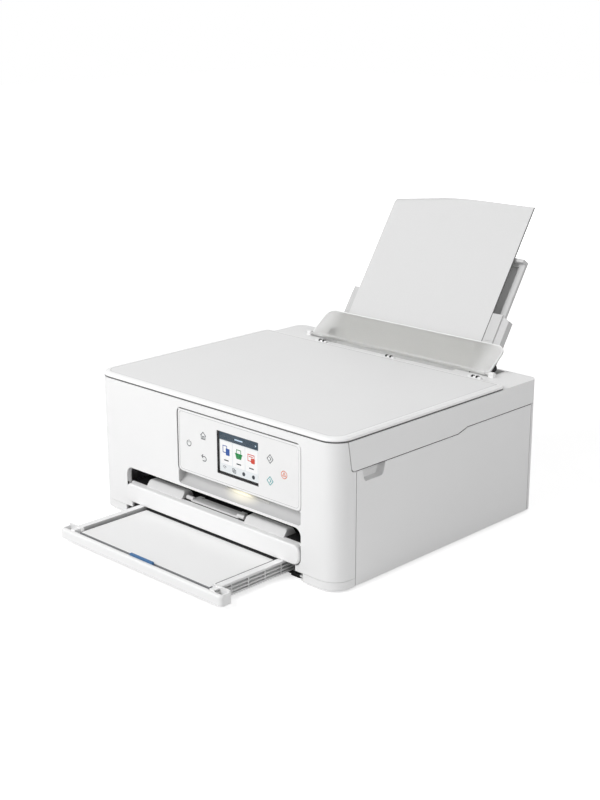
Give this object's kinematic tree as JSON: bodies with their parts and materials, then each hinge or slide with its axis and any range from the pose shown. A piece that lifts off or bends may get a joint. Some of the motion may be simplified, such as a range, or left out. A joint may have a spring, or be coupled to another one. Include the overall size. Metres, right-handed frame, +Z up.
{
  "type": "inkjet all-in-one printer",
  "caption": "White desktop inkjet printer and scanner with a lift-up scanner unit and lid, tilting touch panel, slide-out cassette, output tray and leaning rear paper feed.",
  "frame": {"origin": "middle of the base: on the desk, midway between the pulled-out cassette's front and the top edge of the rear paper, and on the middle plane left to right", "axes": "+X to the right side as seen from the front, +Y from the front to the back, +Z up"},
  "size_m": [0.376, 0.5394, 0.3344],
  "materials": {
    "white_case": "finely textured white moulding",
    "gloss_case": "smooth white moulding",
    "grey_tray": "light grey moulding",
    "frosted": "frosted translucent moulding",
    "dark_plastic": "black moulding",
    "grey_plastic": "mid grey moulding",
    "film": "white printed film",
    "screen": "dark glossy display glass",
    "key": "grey key plunger",
    "glass": "clear float glass",
    "steel": "bright ground steel",
    "sheet_steel": "zinc-plated sheet steel",
    "rubber": "black rubber",
    "paper": "plain white copy paper",
    "blue": "blue moulding",
    "board": "green circuit board",
    "ink": "black ink tank moulding",
    "pad": "white foam-backed sheet",
    "light": "warm white light guide",
    "belt": "toothed rubber belt"
  },
  "bodies": {
    "body": {"bottom_case": "white_case", "rubber_feet": "rubber", "front_fascia": "white_case", "left_side_cover": "white_case", "right_side_cover": "white_case", "rear_cover": "white_case", "hinge_pins": "steel", "case_screws": "steel", "status_light": "light", "chassis_frame": "sheet_steel", "carriage_rail": "steel", "print_platen": "dark_plastic", "maintenance_unit": "dark_plastic", "carriage_motor": "sheet_steel", "carriage_belt": "belt", "feed_motor": "sheet_steel", "main_board": "board", "power_supply": "dark_plastic", "ac_inlet": "dark_plastic", "usb_port": "sheet_steel"},
    "line_feed": {"line_feed_roller": "steel"},
    "exit_feed": {"exit_roller": "rubber"},
    "idler": {"idler_gear": "grey_plastic"},
    "carriage": {"print_carriage": "dark_plastic", "print_head": "dark_plastic", "ink_tanks": "ink"},
    "pickup": {"pickup_arm": "dark_plastic"},
    "pickup_wheel": {"pickup_roller": "rubber"},
    "tray": {"output_tray": "grey_tray"},
    "tray_extension": {"output_extension": "grey_tray"},
    "cassette": {"cassette_tray": "white_case", "cassette_front": "white_case", "cassette_paper": "paper"},
    "cassette_right": {"cassette_guide_right": "white_case"},
    "cassette_left": {"cassette_guide_left": "white_case"},
    "lever": {"lock_lever": "blue"},
    "panel": {"panel_frame": "gloss_case", "panel_overlay": "film", "display": "screen"},
    "scanner": {"scanner_housing": "white_case", "platen_glass": "glass", "scan_shaft": "steel", "paper_support": "white_case", "support_pivots": "dark_plastic", "rear_feed_frame": "dark_plastic"},
    "scan_bar": {"scan_carriage": "dark_plastic"},
    "lid": {"document_lid": "gloss_case", "document_pad": "pad"},
    "slot_cover": {"feed_slot_cover": "frosted"},
    "guide_right": {"paper_guide_right": "white_case"},
    "guide_left": {"paper_guide_left": "white_case"},
    "extension": {"support_extension": "grey_tray"},
    "sheet": {"rear_paper": "paper"},
    "feed_roller": {"rear_feed_roller": "rubber"},
    "power_button": {"power_key": "key"},
    "home_button": {"home_key": "key"},
    "back_button": {"back_key": "key"},
    "mono_start_button": {"mono_start_key": "key"},
    "colour_start_button": {"colour_start_key": "key"},
    "stop_button": {"stop_key": "key"}
  },
  "joints": [
    {"name": "line_feed_spin", "type": "hinge", "parent": "body", "child": "line_feed", "pos_m": [0, -0.01309, 0.054], "axis": [1, 0, 0], "continuous": true},
    {"name": "exit_spin", "type": "hinge", "parent": "body", "child": "exit_feed", "pos_m": [0, -0.06209, 0.054], "axis": [1, 0, 0], "continuous": true},
    {"name": "idler_spin", "type": "hinge", "parent": "body", "child": "idler", "pos_m": [-0.176, -0.03759, 0.054], "axis": [1, 0, 0], "continuous": true},
    {"name": "carriage_slide", "type": "slide", "parent": "body", "child": "carriage", "axis": [-1, 0, 0], "range_m": [0, 0.27]},
    {"name": "pickup_lift", "type": "hinge", "parent": "body", "child": "pickup", "pos_m": [0, 0.00891, 0.034], "axis": [1, 0, 0], "range_deg": [0, 10]},
    {"name": "pickup_spin", "type": "hinge", "parent": "pickup", "child": "pickup_wheel", "pos_m": [0, 0.03891, 0.0248], "axis": [1, 0, 0], "continuous": true},
    {"name": "tray_slide", "type": "slide", "parent": "body", "child": "tray", "axis": [0, -1, 0], "range_m": [0, 0.085]},
    {"name": "tray_extension_slide", "type": "slide", "parent": "tray", "child": "tray_extension", "axis": [0, -1, 0], "range_m": [0, 0.045]},
    {"name": "cassette_slide", "type": "slide", "parent": "body", "child": "cassette", "axis": [0, 1, 0], "range_m": [0, 0.104]},
    {"name": "cassette_guide_right_slide", "type": "slide", "parent": "cassette", "child": "cassette_right", "axis": [1, 0, 0], "range_m": [0, 0.0018]},
    {"name": "cassette_guide_left_slide", "type": "slide", "parent": "cassette", "child": "cassette_left", "axis": [-1, 0, 0], "range_m": [0, 0.0018]},
    {"name": "lever_slide", "type": "slide", "parent": "cassette", "child": "lever", "axis": [1, 0, 0], "range_m": [0, 0.01]},
    {"name": "panel_tilt", "type": "hinge", "parent": "body", "child": "panel", "pos_m": [0, -0.16459, 0.1485], "axis": [-1, 0, 0], "range_deg": [0, 45]},
    {"name": "scanner_lift", "type": "hinge", "parent": "body", "child": "scanner", "pos_m": [0, 0.17121, 0.13165], "axis": [-1, 0, 0], "range_deg": [0, 25]},
    {"name": "scan_slide", "type": "slide", "parent": "scanner", "child": "scan_bar", "axis": [1, 0, 0], "range_m": [0, 0.268]},
    {"name": "lid_hinge", "type": "hinge", "parent": "scanner", "child": "lid", "pos_m": [0, 0.11251, 0.1634], "axis": [-1, 0, 0], "range_deg": [0, 70]},
    {"name": "slot_cover_hinge", "type": "hinge", "parent": "scanner", "child": "slot_cover", "pos_m": [0, 0.13791, 0.163], "axis": [1, 0, 0], "range_deg": [0, 60]},
    {"name": "paper_guide_right_slide", "type": "slide", "parent": "scanner", "child": "guide_right", "axis": [1, 0, 0], "range_m": [0, 0.003]},
    {"name": "paper_guide_left_slide", "type": "slide", "parent": "scanner", "child": "guide_left", "axis": [-1, 0, 0], "range_m": [0, 0.003]},
    {"name": "support_slide", "type": "slide", "parent": "scanner", "child": "extension", "axis": [0, 0.5446, 0.8387], "range_m": [-0.055, 0]},
    {"name": "sheet_slide", "type": "slide", "parent": "scanner", "child": "sheet", "axis": [0, 0.5446, 0.8387], "range_m": [0, 0.04]},
    {"name": "rear_roller_spin", "type": "hinge", "parent": "scanner", "child": "feed_roller", "pos_m": [0, 0.10729, 0.10281], "axis": [1, 0, 0], "continuous": true},
    {"name": "power_button_press", "type": "slide", "parent": "panel", "child": "power_button", "axis": [0, 1, 0], "range_m": [0, 0.0003], "stiffness_N_per_m": 400},
    {"name": "home_button_press", "type": "slide", "parent": "panel", "child": "home_button", "axis": [0, 1, 0], "range_m": [0, 0.0003], "stiffness_N_per_m": 400},
    {"name": "back_button_press", "type": "slide", "parent": "panel", "child": "back_button", "axis": [0, 1, 0], "range_m": [0, 0.0003], "stiffness_N_per_m": 400},
    {"name": "mono_start_button_press", "type": "slide", "parent": "panel", "child": "mono_start_button", "axis": [0, 1, 0], "range_m": [0, 0.0003], "stiffness_N_per_m": 400},
    {"name": "colour_start_button_press", "type": "slide", "parent": "panel", "child": "colour_start_button", "axis": [0, 1, 0], "range_m": [0, 0.0003], "stiffness_N_per_m": 400},
    {"name": "stop_button_press", "type": "slide", "parent": "panel", "child": "stop_button", "axis": [0, 1, 0], "range_m": [0, 0.0003], "stiffness_N_per_m": 400}
  ],
  "couplings": [
    {"joint": "exit_spin", "follows": "line_feed_spin", "ratio": 1},
    {"joint": "idler_spin", "follows": "line_feed_spin", "ratio": -1},
    {"joint": "cassette_guide_left_slide", "follows": "cassette_guide_right_slide", "ratio": 1},
    {"joint": "paper_guide_left_slide", "follows": "paper_guide_right_slide", "ratio": 1}
  ]
}
